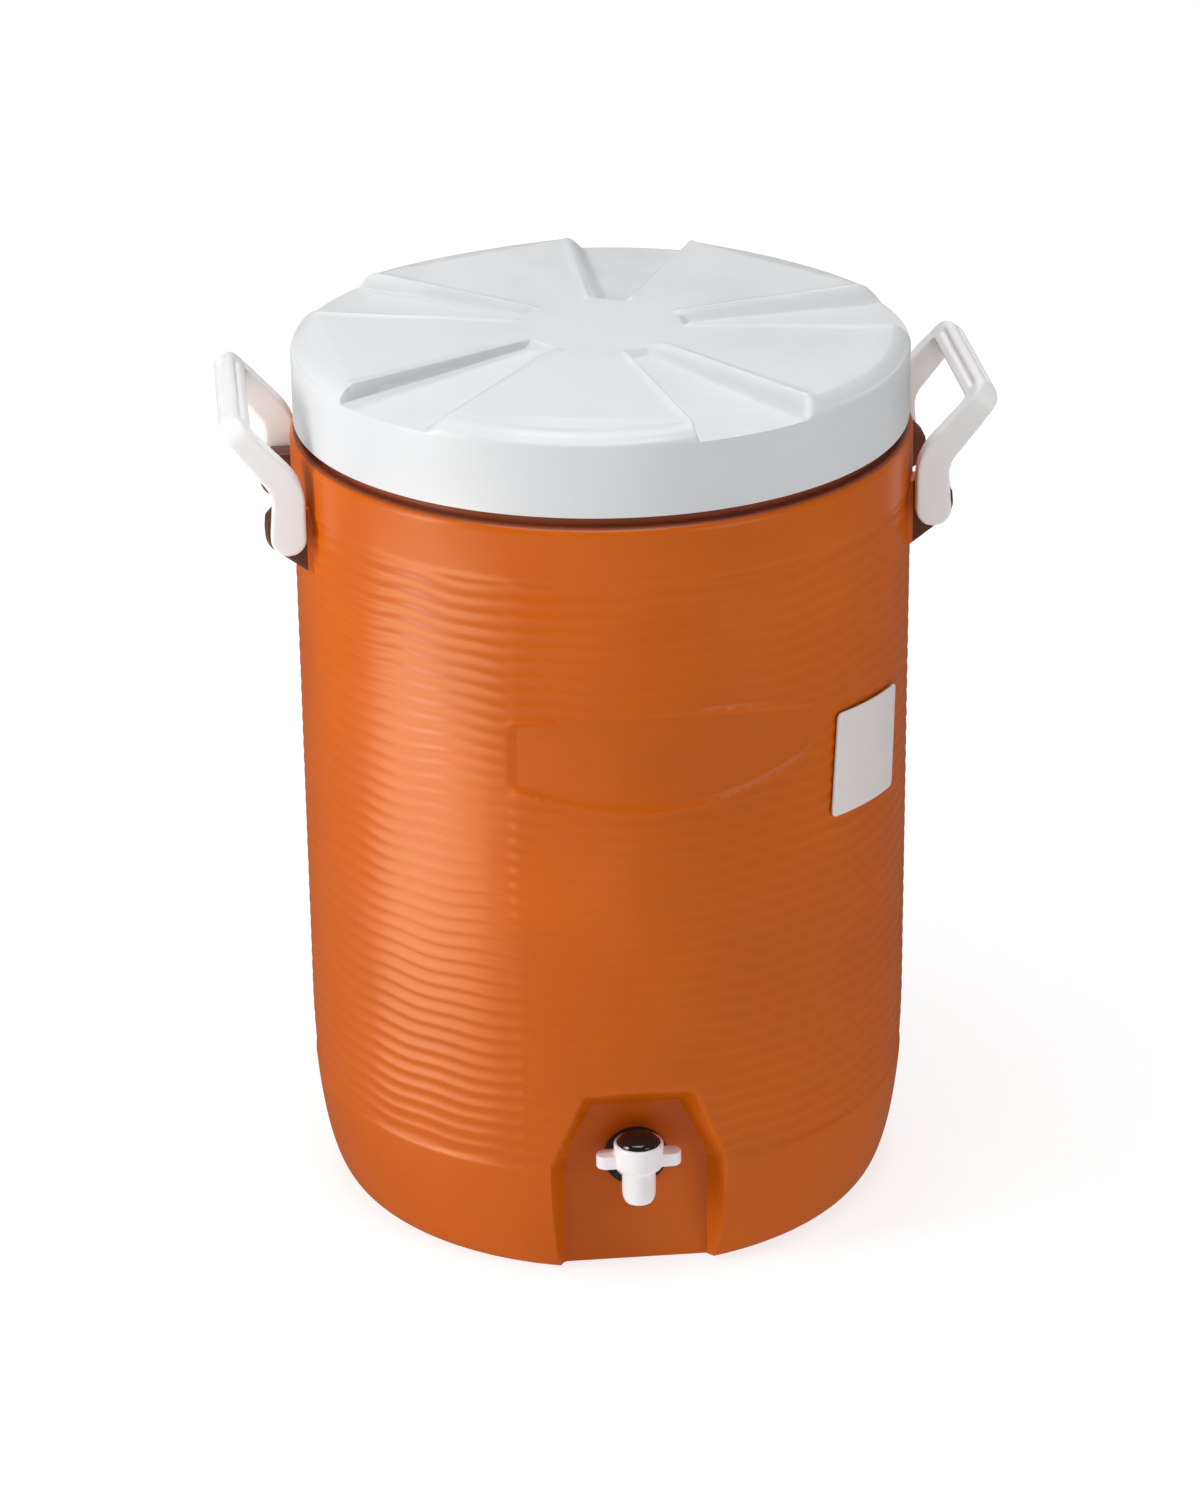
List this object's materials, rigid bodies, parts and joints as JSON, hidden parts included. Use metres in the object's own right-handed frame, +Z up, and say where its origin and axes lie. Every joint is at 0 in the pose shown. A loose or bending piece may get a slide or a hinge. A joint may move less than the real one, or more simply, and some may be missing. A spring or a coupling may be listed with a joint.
{
  "type": "insulated beverage dispenser",
  "caption": "Round foam-insulated drink jug with a press-on lid, swinging side handles and a push-button tap in a recess at the foot of its front.",
  "frame": {"origin": "centre of the circular base, on the surface the jug stands on", "axes": "+Z up along the jug's axis, -Y towards the tap (the front), +X and -X towards the two handles"},
  "size_m": [0.3934, 0.3229, 0.47],
  "materials": {
    "orange_shell": "moulded polyethylene with a soft sheen",
    "white_plastic": "moulded polyethylene, satin",
    "tap_white": "moulded acetal, glossy",
    "liner_plastic": "food-grade polyethylene, smooth",
    "foam": "rigid polyurethane foam",
    "black_plastic": "glossy black",
    "black_rubber": "soft, matt",
    "label_white": "blank vinyl plate",
    "spring_steel": "stainless wire"
  },
  "bodies": {
    "jug": {"outer_shell": "orange_shell", "foam_insulation": "foam", "inner_liner": "liner_plastic", "foam_plug": "orange_shell", "label_plate": "label_white", "tap_body": "tap_white", "tap_gasket": "black_rubber", "tap_washer": "black_rubber", "tap_nut": "tap_white", "tap_bonnet": "tap_white", "return_spring": "spring_steel"},
    "lid_seal": {"lid_gasket": "black_rubber"},
    "lid": {"lid_cover": "white_plastic", "lid_foam": "foam", "lid_pan": "white_plastic"},
    "right_handle": {"handle_right": "white_plastic"},
    "left_handle": {"handle_left": "white_plastic"},
    "button": {"push_button": "black_plastic", "valve_stem": "tap_white", "valve_seal": "black_rubber"}
  },
  "joints": [
    {"name": "lid_lift", "type": "slide", "parent": "jug", "child": "lid_seal", "axis": [0, 0, 1], "range_m": [0, 0.12]},
    {"name": "lid_turn", "type": "hinge", "parent": "lid_seal", "child": "lid", "pos_m": [0, 0, 0.449], "axis": [0, 0, 1], "continuous": true},
    {"name": "right_handle_swing", "type": "hinge", "parent": "jug", "child": "right_handle", "pos_m": [0.164, 0, 0.3815], "axis": [0, 1, 0], "range_deg": [0, 150]},
    {"name": "left_handle_swing", "type": "hinge", "parent": "jug", "child": "left_handle", "pos_m": [-0.164, 0, 0.3815], "axis": [0, -1, 0], "range_deg": [0, 150]},
    {"name": "button_press", "type": "slide", "parent": "jug", "child": "button", "axis": [0, 0, -1], "range_m": [0, 0.0045], "stiffness_N_per_m": 600, "springref_m": -0.004, "deforming": ["return_spring"]}
  ]
}
